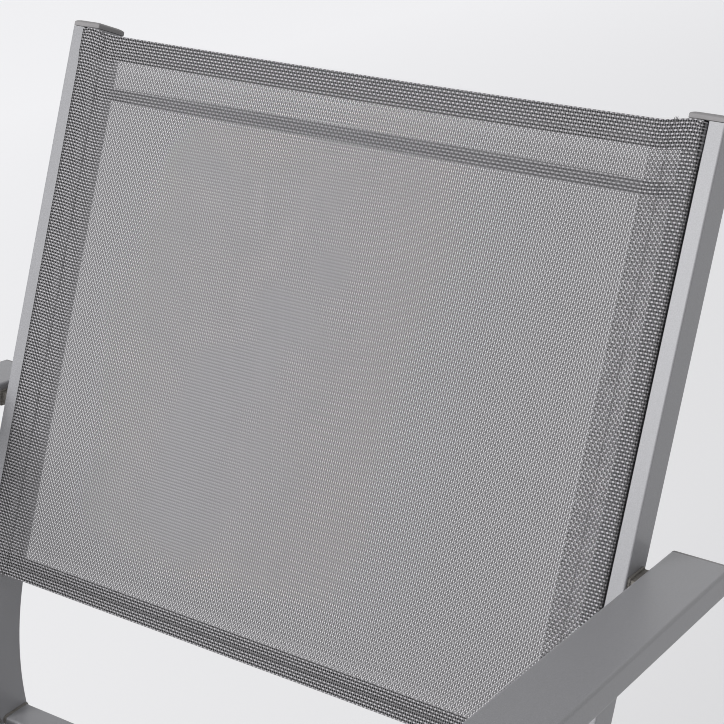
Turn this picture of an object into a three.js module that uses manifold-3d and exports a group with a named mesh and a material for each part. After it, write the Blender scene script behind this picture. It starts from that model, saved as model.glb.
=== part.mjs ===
// A stacking sling armchair: two bent aluminium rails hold a woven back sling and run on as rear legs,
// two seat rails hold the seat sling, and flat armrests stand on flat front legs outside the rails.
// Millimetres, +Z up, the sitter faces -Y, the chair is the same left and right of X = 0.
import * as THREE from 'three';
import { mergeVertices } from 'three/addons/utils/BufferGeometryUtils.js';
import Module from 'manifold-3d';

const wasm = await Module();
wasm.setup();

// Fits
const seatGap = 0.3;          // between pieces that touch
const overrun = 5;            // how far a cutting body passes the face that it cuts
const mergeDistance = 1e-4;   // corners nearer than this are one corner

// Stance of the side frames
const slotSpacing = 481.8;    // from sling slot to sling slot
const backHeight = 900;       // floor to the front edge of the top caps' rims
const recline = 19;           // degrees, back from vertical
const legSplay = 11;          // degrees, rear leg from vertical
const backStraightLength = 400;  // straight part of a back rail
const backBendRadius = 279;   // of the rail's front face

// Slotted rail section, the same for the back and the seat
const railWidth = 24;
const railDepth = 30;
const railCorner = 1;
const railWall = 1.5;
const slotFromOuter = 12.1;   // slot centre from the rail's outer side
const slotWidth = 3.2;
const slotLip = 2;            // thickness of the two lips beside the slot
const channelRadius = 4.2;

// Seat rails
const seatHeight = 384;       // floor to the top face of a seat rail where it meets the leg
const seatRise = 5.5;         // degrees, the seat climbs towards the front
const seatStraightLength = 386;  // straight part of a seat rail
const seatBendRadius = 85;    // of the top face
const seatBendTurn = 38;      // degrees
const seatEndLength = 18;     // straight end past the bend

// Slings and the rods in their side hems
const clothThickness = 1;
const hemThickness = 1.8;     // two layers where the cloth passes the slot
const loopShare = 0.7;        // thickness of the pulled loop round a rod, as a share of the cloth's
const rodRadius = 2.6;
const backSlingDrop = 2.2;    // below the end of the metal rail
const backSlingLength = 408.8;
const seatSlingBack = 3;      // sling edge from the rear leg's front face
const seatSlingFront = 4;     // sling edge from the end of the seat rail

// Armrests and front legs, one flat section
const armWidth = 40;
const armThickness = 18;
const armCorner = 2.2;
const armWall = 1.5;
const armGap = 8.3;           // between a rail's outer side and the armrest's inner side
const armSlope = 4.7;         // degrees, the armrest falls towards the back
const armLength = 505;
const armHeight = 635;        // floor to the armrest's top face at its rear end
const armOverhang = 16;       // rear end behind the rail's rear face
const legInset = 45;          // front leg's centre line from the armrest's front end
const frontLegRake = 4;       // degrees, the foot stands forward

// Spacer blocks welded in the gap between the outer and the inner frame
const armBlockLength = 22;
const armBlockHeight = 9.5;
const armBlockDrop = 6.5;     // top of the block below the armrest's top face
const armBlockInset = 1.5;    // rear end of the block ahead of the rail's rear face
const legBlockLength = 16;
const legBlockHeight = 24;

// Cross members
const stretcherRadius = 5;    // bar behind the top of the back sling
const stretcherDrop = 47;     // its centre below the top of the back, along the rail
const stretcherDepth = 15;    // its centre behind the front face
const rearBarWidth = 25;
const rearBarHeight = 25;
const rearBarCorner = 2.2;
const rearBarWall = 1.5;
const rearBarDrop = 1.2;      // its top below the seat rails' top face
const rearBarInset = 0.8;     // its rear face ahead of the leg's rear face
const frontBarRadius = 9;
const frontBarWall = 1.5;
const frontBarDepth = 19.8;   // its centre below the seat rail's top face
const frontBarFromLeg = 42;   // its centre behind the front leg's block
const frontBarBow = 26;       // how far its middle hangs below its ends
const frontBarEndLength = 18; // straight ends before the bow

// Bolts that hold the front crossbar
const boltRadius = 2.5;
const boltHeadRadius = 5;
const boltHeadHeight = 2.8;
const boltLength = 40;        // under the head
const boltSocketRadius = 1.7; // to the corners of the hexagon
const boltSocketDepth = 1.6;
const boltClearance = 0.3;
const boltRim = 0.3;          // flat between the socket and the domed edge, and the tip's chamfer

// Plastic caps, plugs and glides
const topCapRim = 2.5;        // height of a rail cap's rim
const topCapDome = 2.8;       // rise of its pillowed top above the rim
const endCapRim = 1.4;
const endCapRound = 1.2;
const plugLength = 14;
const capFlat = 3;            // half the flat left on a pillowed top
const glideThickness = 5;
const glideMargin = 0.8;      // how far a glide stands out round its leg

// Facets
const hexagon = 6;
const cornerSteps = 3;        // to a quarter turn of a section's corner
const roundSteps = 14;        // to a full turn
const bendSteps = 8;
const bowSteps = 16;
const domeSteps = 3;

// Where the main faces lie, measured across the chair
const half = slotSpacing / 2;
const railOuter = half + slotFromOuter;
const railInner = railOuter - railWidth;
const armInner = railOuter + armGap;
const armCentre = armInner + armWidth / 2;
const channelDepth = slotLip + channelRadius;
const cavityFront = channelDepth + channelRadius + railWall;

const radians = THREE.MathUtils.degToRad;
const forward = 90;           // heading of a level line that runs to the front
const quarter = Math.PI / 2;

// A line in the side plane made of straight runs and arcs. Headings are measured from -Z towards -Y, so
// that 0 runs down and 90 runs forward. Sections are swept along it with x across the chair and y on the
// side that turns to the sitter.
class SideLine extends THREE.Curve {
  constructor(start, heading, runs) {
    super();
    this.stations = [{ y: start.y, z: start.z, heading: radians(heading) }];
    for (const run of runs) {
      if (run.radius) this.addArc(run.radius, radians(run.turn), run.steps);
      else this.addRun(run.length);
    }
  }

  get last() {
    return this.stations[this.stations.length - 1];
  }

  get steps() {
    return this.stations.length - 1;
  }

  addRun(length) {
    const { y, z, heading } = this.last;
    this.stations.push({
      y: y - length * Math.sin(heading),
      z: z - length * Math.cos(heading),
      heading,
    });
  }

  // A positive turn swings the heading towards the back, with the centre behind the line.
  addArc(radius, turn, steps) {
    const { y, z, heading } = this.last;
    const centre = { y: y + radius * Math.cos(heading), z: z - radius * Math.sin(heading) };
    for (let step = 1; step <= steps; step += 1) {
      const now = heading - (turn * step) / steps;
      this.stations.push({
        y: centre.y - radius * Math.cos(now),
        z: centre.z + radius * Math.sin(now),
        heading: now,
      });
    }
  }

  getUtoTmapping(u) {
    return u;
  }

  at(t) {
    const place = Math.min(Math.max(t, 0), 1) * this.steps;
    const index = Math.min(Math.floor(place), this.steps - 1);
    const share = place - index;
    const a = this.stations[index];
    const b = this.stations[index + 1];
    return {
      y: a.y + (b.y - a.y) * share,
      z: a.z + (b.z - a.z) * share,
      heading: a.heading + (b.heading - a.heading) * share,
    };
  }

  getPoint(t) {
    const { y, z } = this.at(t);
    return new THREE.Vector3(0, y, z);
  }

  getTangent(t) {
    const { heading } = this.at(t);
    return new THREE.Vector3(0, -Math.sin(heading), -Math.cos(heading));
  }

  computeFrenetFrames(steps) {
    const tangents = [];
    const normals = [];
    const binormals = [];
    for (let step = 0; step <= steps; step += 1) {
      const tangent = this.getTangent(step / steps);
      const across = new THREE.Vector3(1, 0, 0);
      tangents.push(tangent);
      normals.push(across);
      binormals.push(new THREE.Vector3().crossVectors(tangent, across));
    }
    return { tangents, normals, binormals };
  }

  // The point a given length along the line, moved off it by a depth away from the sitter.
  pointAt(length, depth = 0) {
    let left = length;
    for (let index = 0; index < this.steps; index += 1) {
      const a = this.stations[index];
      const b = this.stations[index + 1];
      const span = Math.hypot(b.y - a.y, b.z - a.z);
      if (left <= span || index === this.steps - 1) {
        const share = left / span;
        const heading = a.heading + (b.heading - a.heading) * Math.min(share, 1);
        return {
          y: a.y + (b.y - a.y) * share + depth * Math.cos(heading),
          z: a.z + (b.z - a.z) * share - depth * Math.sin(heading),
          heading,
        };
      }
      left -= span;
    }
    return this.last;
  }

  get length() {
    let total = 0;
    for (let index = 0; index < this.steps; index += 1) {
      const a = this.stations[index];
      const b = this.stations[index + 1];
      total += Math.hypot(b.y - a.y, b.z - a.z);
    }
    return total;
  }

  // Where a line at some depth behind this one crosses a height.
  depthCrossing(height, depth) {
    const points = this.stations.map((station) => ({
      y: station.y + depth * Math.cos(station.heading),
      z: station.z - depth * Math.sin(station.heading),
    }));
    const index = Math.max(points.findIndex((point) => point.z <= height), 1);
    const a = points[index - 1];
    const b = points[index];
    return a.y + ((b.y - a.y) * (height - a.z)) / (b.z - a.z);
  }

  // The part of the line between two lengths, with the arc stations that lie inside.
  between(from, to) {
    const part = new SideLine({ y: 0, z: 0 }, 0, []);
    part.stations = [this.pointAt(from)];
    let along = 0;
    for (let index = 1; index < this.stations.length; index += 1) {
      const a = this.stations[index - 1];
      const b = this.stations[index];
      along += Math.hypot(b.y - a.y, b.z - a.z);
      if (along > from && along < to) part.stations.push(b);
    }
    part.stations.push(this.pointAt(to));
    return part;
  }
}

// Solids

function solidFrom(geometry) {
  const bare = geometry.clone();
  bare.deleteAttribute('normal');
  bare.deleteAttribute('uv');
  const merged = mergeVertices(bare, mergeDistance);
  return new wasm.Manifold(new wasm.Mesh({
    numProp: 3,
    vertProperties: Float32Array.from(merged.attributes.position.array),
    triVerts: Uint32Array.from(merged.index.array),
  }));
}

function geometryFrom(solid) {
  const { vertProperties, triVerts } = solid.getMesh();
  const geometry = new THREE.BufferGeometry();
  geometry.setAttribute('position', new THREE.BufferAttribute(Float32Array.from(vertProperties), 3));
  geometry.setIndex(new THREE.BufferAttribute(Uint32Array.from(triVerts), 1));
  const flat = geometry.toNonIndexed();
  flat.computeVertexNormals();
  return flat;
}

function sweep(shape, line) {
  return solidFrom(new THREE.ExtrudeGeometry(shape, {
    steps: line.steps,
    extrudePath: line,
    bevelEnabled: false,
  }));
}

// A round bar across the chair, at a place in the side plane.
function crossCylinder(radius, fromX, toX, place) {
  const geometry = new THREE.CylinderGeometry(radius, radius, toX - fromX, roundSteps);
  geometry.rotateZ(quarter);
  geometry.translate((fromX + toX) / 2, place.y, place.z);
  return solidFrom(geometry);
}

// Everything between two heights, wide enough for the whole chair.
function slab(low, high) {
  const reach = 2 * (backHeight + slotSpacing);
  const geometry = new THREE.BoxGeometry(reach, reach, high - low);
  geometry.translate(0, 0, (low + high) / 2);
  return solidFrom(geometry);
}

// Sections

// Adds an arc of straight facets to a path.
function addArc(path, x, y, radius, from, to, steps) {
  for (let step = 0; step <= steps; step += 1) {
    const angle = from + ((to - from) * step) / steps;
    const point = [x + radius * Math.cos(angle), y + radius * Math.sin(angle)];
    if (path.curves.length || step) path.lineTo(...point);
    else path.moveTo(...point);
  }
}

function circle(path, x, y, radius) {
  const steps = roundSteps - 1;
  addArc(path, x, y, radius, 0, (4 * quarter * steps) / roundSteps, steps);
  path.closePath();
  return path;
}

// A rounded rectangle as a closed path on a Shape or a Path.
function roundedOutline(path, left, right, bottom, top, corner) {
  addArc(path, right - corner, bottom + corner, corner, -quarter, 0, cornerSteps);
  addArc(path, right - corner, top - corner, corner, 0, quarter, cornerSteps);
  addArc(path, left + corner, top - corner, corner, quarter, 2 * quarter, cornerSteps);
  addArc(path, left + corner, bottom + corner, corner, 2 * quarter, 3 * quarter, cornerSteps);
  path.closePath();
  return path;
}

function roundedRectangle(left, right, bottom, top, corner) {
  return roundedOutline(new THREE.Shape(), left, right, bottom, top, corner);
}

// Left and right edges of the rail on one side of the chair, grown by a margin.
function railEdges(side, margin = 0) {
  const inner = side * railInner;
  const outer = side * railOuter;
  return [Math.min(inner, outer) - margin, Math.max(inner, outer) + margin];
}

// The rail without its slot, grown by a margin: what a neighbour has to stay clear of.
function railEnvelope(side, margin = 0) {
  const [left, right] = railEdges(side, margin);
  return roundedRectangle(left, right, -railDepth - margin, margin, railCorner);
}

// The slotted rail: two lips, a round channel for the hem rod and a hollow chamber behind.
function railSection(side) {
  const [left, right] = railEdges(side);
  const slot = side * half;
  const mouth = slotWidth / 2;
  const opening = Math.asin(mouth / channelRadius);
  const back = railCorner - railDepth;
  const shape = new THREE.Shape();
  addArc(shape, right - railCorner, back, railCorner, -quarter, 0, cornerSteps);
  addArc(shape, right - railCorner, -railCorner, railCorner, 0, quarter, cornerSteps);
  shape.lineTo(slot + mouth, 0);
  addArc(shape, slot, -channelDepth, channelRadius, quarter - opening, opening - 3 * quarter, roundSteps);
  shape.lineTo(slot - mouth, 0);
  addArc(shape, left + railCorner, -railCorner, railCorner, quarter, 2 * quarter, cornerSteps);
  addArc(shape, left + railCorner, back, railCorner, 2 * quarter, 3 * quarter, cornerSteps);
  shape.closePath();
  shape.holes.push(roundedOutline(new THREE.Path(), left + railWall, right - railWall,
    railWall - railDepth, -cavityFront, railWall));
  return shape;
}

// The plug that fits the rail's hollow chamber.
function railPlugSection(side) {
  const [left, right] = railEdges(side, -railWall - seatGap);
  return roundedRectangle(left, right, railWall + seatGap - railDepth, -cavityFront - seatGap, railWall);
}

// The flat tube of the armrests and front legs; y runs from its top or front face.
function flatTubeSection(side) {
  const left = side * armCentre - armWidth / 2;
  const right = left + armWidth;
  const shape = roundedRectangle(left, right, -armThickness, 0, armCorner);
  shape.holes.push(roundedOutline(new THREE.Path(), left + armWall, right - armWall,
    armWall - armThickness, -armWall, armCorner - armWall));
  return shape;
}

function flatEnvelope(side, margin = 0) {
  const left = side * armCentre - armWidth / 2;
  const right = left + armWidth;
  return roundedRectangle(left - margin, right + margin, -armThickness - margin, margin, armCorner);
}

function flatPlugSection(side) {
  const inset = armWall + seatGap;
  const left = side * armCentre - armWidth / 2;
  return roundedRectangle(left + inset, left + armWidth - inset, inset - armThickness, -inset,
    armCorner - armWall);
}

// The sling across the chair: the cloth, a tongue through each slot and a loop round each hem rod.
function slingSection() {
  const low = seatGap;
  const high = seatGap + clothThickness;
  const neck = hemThickness / 2;
  const loopInner = rodRadius + seatGap;
  const loopOuter = loopInner + clothThickness * loopShare;
  const gape = Math.asin(neck / loopOuter);
  const from = quarter + gape;
  const to = 5 * quarter - gape;
  const shape = new THREE.Shape();
  shape.moveTo(half + neck, high);
  shape.lineTo(-half - neck, high);
  addArc(shape, -half, -channelDepth, loopOuter, from, to, roundSteps);
  shape.lineTo(-half + neck, low);
  shape.lineTo(half - neck, low);
  addArc(shape, half, -channelDepth, loopOuter, from, to, roundSteps);
  shape.closePath();
  for (const side of [-1, 1]) {
    shape.holes.push(circle(new THREE.Path(), side * half, -channelDepth, loopInner));
  }
  return shape;
}

function rodSection(side) {
  return circle(new THREE.Shape(), side * half, -channelDepth, rodRadius);
}

// The lines that the pieces follow

const topCapLift = topCapRim + seatGap;
const railStart = {
  y: -topCapLift * Math.sin(radians(recline)),
  z: backHeight - topCapLift * Math.cos(radians(recline)),
};
const backLine = new SideLine(railStart, recline, [
  { length: backStraightLength },
  { radius: backBendRadius, turn: recline + legSplay, steps: bendSteps },
  { length: backHeight },
]);

// A seat rail starts inside the leg, where the coping cut takes its end off.
const seatHeading = forward + seatRise;
const seatFace = { y: backLine.depthCrossing(seatHeight, 0), z: seatHeight };
const seatCope = railDepth / 2;
const seatStart = new SideLine(seatFace, seatHeading, [{ length: -seatCope }]).last;
const seatLine = new SideLine(seatStart, seatHeading, [
  { length: seatCope + seatStraightLength },
  { radius: seatBendRadius, turn: seatBendTurn, steps: bendSteps },
  { length: seatEndLength },
]);

const armRear = { y: backLine.depthCrossing(armHeight, railDepth) + armOverhang, z: armHeight };
const armLine = new SideLine(armRear, forward + armSlope, [{ length: armLength }]);

// The front leg's front face, from inside the armrest down past the floor.
const legFront = armLength - legInset + armThickness / 2;
const legTop = armLine.pointAt(legFront, armThickness / 2);
const legLine = new SideLine(legTop, frontLegRake, [{ length: backHeight }]);

// Placing pieces in the side plane

// The two X values between which a piece on one side of the chair lies.
function sideSpan(side, near, far) {
  return [Math.min(side * near, side * far), Math.max(side * near, side * far)];
}

// Where two straight lines in the side plane meet.
function crossing(a, b) {
  const dir = (line) => ({ y: -Math.sin(line.heading), z: -Math.cos(line.heading) });
  const p = dir(a);
  const q = dir(b);
  const run = ((b.y - a.y) * q.z - (b.z - a.z) * q.y) / (p.y * q.z - p.z * q.y);
  return { y: a.y + run * p.y, z: a.z + run * p.z, heading: b.heading, run };
}

// Moves a piece modelled with +z out of a line's end to that end. Facing is 1 at the far end of a line
// and -1 at its start.
function atEnd(solid, place, facing) {
  const h = place.heading;
  const across = new THREE.Vector3(facing, 0, 0);
  const front = new THREE.Vector3(0, -Math.cos(h), Math.sin(h));
  const out = new THREE.Vector3().crossVectors(across, front);
  const matrix = new THREE.Matrix4().makeBasis(across, front, out).setPosition(0, place.y, place.z);
  return solid.transform(matrix.elements);
}

// A plate with the outline of a tube. Above its rim the top rises like a pillow over the given reach.
function pillowPlate(section, rim, rise, reach) {
  const outline = section.getPoints().slice(0, -1);
  const frame = new THREE.Box2().setFromPoints(outline);
  const centre = frame.getCenter(new THREE.Vector2());
  const extent = frame.getSize(new THREE.Vector2()).divideScalar(2);
  const rings = [{ inset: 0, z: 0 }];
  for (let step = 0; step <= domeSteps; step += 1) {
    const angle = (quarter * step) / domeSteps;
    rings.push({ inset: reach * (1 - Math.cos(angle)), z: rim + rise * Math.sin(angle) });
  }
  const positions = [];
  for (const { inset, z } of rings) {
    for (const point of outline) {
      const x = centre.x + (point.x - centre.x) * (1 - inset / extent.x);
      const y = centre.y + (point.y - centre.y) * (1 - inset / extent.y);
      positions.push(x, y, z);
    }
  }
  positions.push(centre.x, centre.y, 0);
  positions.push(centre.x, centre.y, rim + rise);
  const count = outline.length;
  const lastRing = (rings.length - 1) * count;
  const bottom = lastRing + count;
  const top = bottom + 1;
  const index = [];
  for (let i = 0; i < count; i += 1) {
    const next = (i + 1) % count;
    index.push(bottom, next, i);
    index.push(top, lastRing + i, lastRing + next);
    for (let low = 0; low < lastRing; low += count) {
      const high = low + count;
      index.push(low + i, low + next, high + next);
      index.push(low + i, high + next, high + i);
    }
  }
  const geometry = new THREE.BufferGeometry();
  geometry.setAttribute('position', new THREE.Float32BufferAttribute(positions, 3));
  geometry.setIndex(index);
  return solidFrom(geometry);
}

// A straight prism along z, from below the plate's underside up into the plate.
function plug(section, length) {
  const geometry = new THREE.ExtrudeGeometry(section, {
    depth: length + seatGap,
    bevelEnabled: false,
  });
  geometry.translate(0, 0, -length);
  return solidFrom(geometry);
}

// Sweeps a tube section straight across the chair; the section's x runs back and its y runs up.
function crossTube(section, fromX, toX) {
  const geometry = new THREE.ExtrudeGeometry(section, {
    depth: toX - fromX,
    bevelEnabled: false,
  });
  const turn = new THREE.Matrix4().makeBasis(
    new THREE.Vector3(0, 1, 0),
    new THREE.Vector3(0, 0, 1),
    new THREE.Vector3(1, 0, 0),
  );
  geometry.applyMatrix4(turn);
  geometry.translate(fromX, 0, 0);
  return solidFrom(geometry);
}

// Places of the joints between the pieces

const stretcherPlace = backLine.pointAt(stretcherDrop - topCapLift, stretcherDepth);
const legBlockPlace = crossing(seatLine.pointAt(0, railDepth / 2), legLine.pointAt(0, armThickness / 2));
const frontBarPlace = seatLine.pointAt(legBlockPlace.run - frontBarFromLeg, frontBarDepth);

// Pieces of the frame

function backRail(side) {
  const aboveGlide = slab(glideThickness + seatGap, backHeight + overrun);
  return sweep(railSection(side), backLine).intersect(aboveGlide);
}

function seatRail(side) {
  const leg = sweep(railEnvelope(side, seatGap), backLine);
  const [from, to] = sideSpan(side, railInner - overrun, railOuter + overrun);
  const boltHole = crossCylinder(boltRadius + boltClearance, from, to, frontBarPlace);
  return sweep(railSection(side), seatLine).subtract(leg).subtract(boltHole);
}

function armrest(side) {
  return sweep(flatTubeSection(side), armLine);
}

function frontLeg(side) {
  const armrestRoom = sweep(flatEnvelope(side, seatGap), armLine);
  const aboveGlide = slab(glideThickness + seatGap, backHeight);
  return sweep(flatTubeSection(side), legLine).subtract(armrestRoom).intersect(aboveGlide);
}

// A block in the gap between the frames, centred on a place in the side plane and turned with it.
function gapBlock(side, place, length, depth) {
  const width = armGap - 2 * seatGap;
  const geometry = new THREE.BoxGeometry(width, depth, length);
  geometry.rotateX(-place.heading);
  geometry.translate(side * (railOuter + armGap / 2), place.y, place.z);
  return solidFrom(geometry);
}

function armBlock(side) {
  const railBack = backLine.depthCrossing(armHeight - armBlockDrop - armBlockHeight, railDepth);
  const start = (armRear.y - railBack) / Math.cos(radians(armSlope)) + armBlockInset;
  const place = armLine.pointAt(start + armBlockLength / 2, armBlockDrop + armBlockHeight / 2);
  return gapBlock(side, place, armBlockLength, armBlockHeight);
}

function legBlock(side) {
  return gapBlock(side, legBlockPlace, legBlockHeight, legBlockLength);
}

function backStretcher() {
  return crossCylinder(stretcherRadius, seatGap - railInner, railInner - seatGap, stretcherPlace);
}

function rearCrossbar() {
  const top = seatHeight - rearBarDrop;
  const back = backLine.depthCrossing(top, railDepth) - rearBarInset;
  const front = back - rearBarWidth;
  const bottom = top - rearBarHeight;
  const section = roundedRectangle(front, back, bottom, top, rearBarCorner);
  section.holes.push(roundedOutline(new THREE.Path(), front + rearBarWall, back - rearBarWall,
    bottom + rearBarWall, top - rearBarWall, rearBarCorner - rearBarWall));
  return crossTube(section, seatGap - railInner, railInner - seatGap);
}

// A line across the chair that hangs down in the middle. Its first and last steps are straight.
class BowedLine extends THREE.Curve {
  get steps() {
    return bowSteps + 2;
  }

  getUtoTmapping(u) {
    return u;
  }

  getPoint(t) {
    const step = t * this.steps - 1;
    const bowStep = THREE.MathUtils.clamp(step, 0, bowSteps);
    const share = bowStep / bowSteps;
    const bowEnd = railInner - seatGap - frontBarEndLength;
    const x = bowEnd * (2 * share - 1) + frontBarEndLength * (step - bowStep);
    const fall = (frontBarBow * (1 - Math.cos(4 * quarter * share))) / 2;
    return new THREE.Vector3(x, frontBarPlace.y, frontBarPlace.z - fall);
  }
}

function frontCrossbar() {
  const section = circle(new THREE.Shape(), 0, 0, frontBarRadius);
  section.holes.push(circle(new THREE.Path(), 0, 0, frontBarRadius - frontBarWall));
  return sweep(section, new BowedLine());
}

// The threaded insert in an end of the front crossbar.
function crossbarInsert(side) {
  const outer = railInner - seatGap;
  const inner = outer - frontBarEndLength;
  const [from, to] = sideSpan(side, inner, outer);
  const [boreFrom, boreTo] = sideSpan(side, inner - overrun, outer + overrun);
  return crossCylinder(frontBarRadius - frontBarWall - seatGap, from, to, frontBarPlace)
    .subtract(crossCylinder(boltRadius + boltClearance, boreFrom, boreTo, frontBarPlace));
}

// A button-headed bolt with a hexagon socket, its head on the rail's outer side.
function crossbarBolt(side) {
  const rim = boltSocketRadius + boltRim;
  const profile = [
    new THREE.Vector2(0, -boltLength),
    new THREE.Vector2(boltRadius - boltRim, -boltLength),
    new THREE.Vector2(boltRadius, boltRim - boltLength),
    new THREE.Vector2(boltRadius, 0),
    new THREE.Vector2(boltHeadRadius, 0),
  ];
  for (let step = 1; step <= domeSteps; step += 1) {
    const angle = (quarter * step) / domeSteps;
    const radius = rim + (boltHeadRadius - rim) * Math.cos(angle);
    profile.push(new THREE.Vector2(radius, boltHeadHeight * Math.sin(angle)));
  }
  profile.push(new THREE.Vector2(0, boltHeadHeight));
  const depth = boltSocketDepth + overrun;
  const socket = new THREE.CylinderGeometry(boltSocketRadius, boltSocketRadius, depth, hexagon);
  socket.translate(0, boltHeadHeight - boltSocketDepth + depth / 2, 0);
  const bolt = solidFrom(new THREE.LatheGeometry(profile, roundSteps)).subtract(solidFrom(socket));
  const out = new THREE.Vector3(side, 0, 0);
  const up = new THREE.Vector3(0, 0, 1);
  const matrix = new THREE.Matrix4().makeBasis(new THREE.Vector3().crossVectors(out, up), out, up);
  matrix.setPosition(side * (railOuter + seatGap), frontBarPlace.y, frontBarPlace.z);
  return bolt.transform(matrix.elements);
}

// Slings

const seatLength = seatLine.length;
const backSlingLine = backLine.between(backSlingDrop, backSlingDrop + backSlingLength);
const seatSlingLine = seatLine.between(seatCope + seatSlingBack, seatLength - seatSlingFront);

// Plastic pieces

// A plate over the end of a tube, on a plug inside it.
function tubeCap(plate, plugSection, line, facing) {
  const end = facing < 0 ? line.pointAt(0) : line.last;
  return atEnd(plate.translate([0, 0, seatGap]).add(plug(plugSection, plugLength)), end, facing);
}

function railCap(side, line, facing) {
  const turned = side * facing;
  const reach = railWidth / 2 - capFlat;
  const plate = pillowPlate(railEnvelope(turned), topCapRim, topCapDome, reach);
  return tubeCap(plate, railPlugSection(turned), line, facing);
}

function armCap(side, facing) {
  const turned = side * facing;
  const plate = pillowPlate(flatEnvelope(turned), endCapRim, endCapRound, endCapRound);
  return tubeCap(plate, flatPlugSection(turned), armLine, facing);
}

function legGlide(envelope, plugSection, line) {
  const pad = sweep(envelope, line).intersect(slab(0, glideThickness));
  const insert = sweep(plugSection, line).intersect(slab(0, glideThickness + plugLength));
  return pad.add(insert);
}

// Materials

function material(color, roughness, metalness) {
  return new THREE.MeshStandardMaterial({ color, roughness, metalness });
}

const paintedAluminium = material('#9a9b9d', 0.42, 0.35);
const wovenCloth = material('#86868a', 0.8, 0);
const greyPlastic = material('#8b8b8d', 0.55, 0);
const whitePlastic = material('#c9c9c6', 0.5, 0);
const steel = material('#b4b4b2', 0.35, 0.9);

// The chair

const pieces = [];
function addPiece(name, solid, look) {
  pieces.push({ name, solid, look });
}

for (const [name, side] of [['left', -1], ['right', 1]]) {
  addPiece(`back_rail_${name}`, backRail(side), paintedAluminium);
  addPiece(`seat_rail_${name}`, seatRail(side), paintedAluminium);
  addPiece(`armrest_${name}`, armrest(side), paintedAluminium);
  addPiece(`front_leg_${name}`, frontLeg(side), paintedAluminium);
  addPiece(`arm_block_${name}`, armBlock(side), paintedAluminium);
  addPiece(`leg_block_${name}`, legBlock(side), paintedAluminium);
  addPiece(`back_sling_rod_${name}`, sweep(rodSection(side), backSlingLine), whitePlastic);
  addPiece(`seat_sling_rod_${name}`, sweep(rodSection(side), seatSlingLine), whitePlastic);
  addPiece(`back_rail_cap_${name}`, railCap(side, backLine, -1), greyPlastic);
  addPiece(`seat_rail_cap_${name}`, railCap(side, seatLine, 1), greyPlastic);
  addPiece(`armrest_rear_cap_${name}`, armCap(side, -1), greyPlastic);
  addPiece(`armrest_front_cap_${name}`, armCap(side, 1), greyPlastic);
  addPiece(`rear_glide_${name}`, legGlide(railEnvelope(side, glideMargin), railPlugSection(side), backLine),
    greyPlastic);
  addPiece(`front_glide_${name}`, legGlide(flatEnvelope(side, glideMargin), flatPlugSection(side), legLine),
    greyPlastic);
  addPiece(`crossbar_insert_${name}`, crossbarInsert(side), steel);
  addPiece(`crossbar_bolt_${name}`, crossbarBolt(side), steel);
}
addPiece('back_stretcher', backStretcher(), paintedAluminium);
addPiece('rear_crossbar', rearCrossbar(), paintedAluminium);
addPiece('front_crossbar', frontCrossbar(), paintedAluminium);
addPiece('back_sling', sweep(slingSection(), backSlingLine), wovenCloth);
addPiece('seat_sling', sweep(slingSection(), seatSlingLine), wovenCloth);

const chair = new THREE.Group();
for (const { name, solid, look } of pieces) {
  const mesh = new THREE.Mesh(geometryFrom(solid), look);
  mesh.name = name;
  chair.add(mesh);
}

// The origin is on the floor, under the middle of the chair.
const bounds = new THREE.Box3().setFromObject(chair);
chair.position.y = -(bounds.min.y + bounds.max.y) / 2;

export default chair;
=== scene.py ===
# %% [markdown]
# # Sling patio chair
# Two bent, slotted aluminium rails hold a woven back sling and run on as rear legs, two slotted seat
# rails hold the seat sling, and flat armrests stand on flat front legs outside the rails. The packed
# model gives every piece its place. This file gives the pieces their rounded edges, cloth, seams,
# welds and finishes, in the same frame and in metres.

import bmesh
import bpy
import numpy as np
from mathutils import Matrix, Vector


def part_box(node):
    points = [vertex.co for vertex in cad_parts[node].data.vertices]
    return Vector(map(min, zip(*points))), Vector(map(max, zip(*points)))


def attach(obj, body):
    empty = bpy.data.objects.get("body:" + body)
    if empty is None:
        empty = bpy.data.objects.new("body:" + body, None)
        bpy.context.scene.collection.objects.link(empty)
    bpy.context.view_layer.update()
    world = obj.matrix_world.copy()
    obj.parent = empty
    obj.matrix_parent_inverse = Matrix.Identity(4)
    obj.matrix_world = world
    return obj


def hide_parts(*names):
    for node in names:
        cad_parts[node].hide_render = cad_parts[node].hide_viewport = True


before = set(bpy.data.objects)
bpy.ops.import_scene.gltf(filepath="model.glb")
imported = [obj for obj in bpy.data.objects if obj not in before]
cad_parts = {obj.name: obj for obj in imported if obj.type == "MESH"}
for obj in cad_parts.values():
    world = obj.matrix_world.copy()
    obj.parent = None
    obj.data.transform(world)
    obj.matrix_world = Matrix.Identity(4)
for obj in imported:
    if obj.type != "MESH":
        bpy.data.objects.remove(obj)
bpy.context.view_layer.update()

mm = 0.001
SIDES = {"left": -1, "right": 1}
bpy.context.scene.view_settings.view_transform = "Standard"
PIXEL_BLUR = 1.0          # in pixels: the weave is only three of them from yarn to yarn
bpy.context.scene.cycles.filter_width = PIXEL_BLUR

# %% [markdown]
# ## Camera
# The photograph was taken from in front of the chair's left arm, as the sitter has it, looking down on
# the back. Its lens, place and turn were worked out from the straight edges of the rails and the cloth.
# The rim of the back rail's caps is the point from which all of it is measured, so it gets a name first.

# %% Camera
RIM_Y = 285.198 * mm      # front edge of the back caps' rims, behind the middle of the chair
RIM_Z = 900 * mm
FOCAL_PIXELS = 1678.06
PHOTO_PIXELS = 724
SENSOR_WIDTH = 36         # in millimetres, as the lens is
YAW, PITCH, ROLL = np.radians([31.7229, 21.2720, 1.5023])
EYE_FROM_RIM = np.array([586.813, -942.457, 220.334]) * mm


def stand(holder, across, above, back, place):
    """Links an object with its axes along three directions and its origin at a place."""
    placing = np.eye(4)
    placing[:3, :] = np.stack([across, above, back, place], axis=1)
    holder.matrix_world = placing.T
    bpy.context.collection.objects.link(holder)


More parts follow.
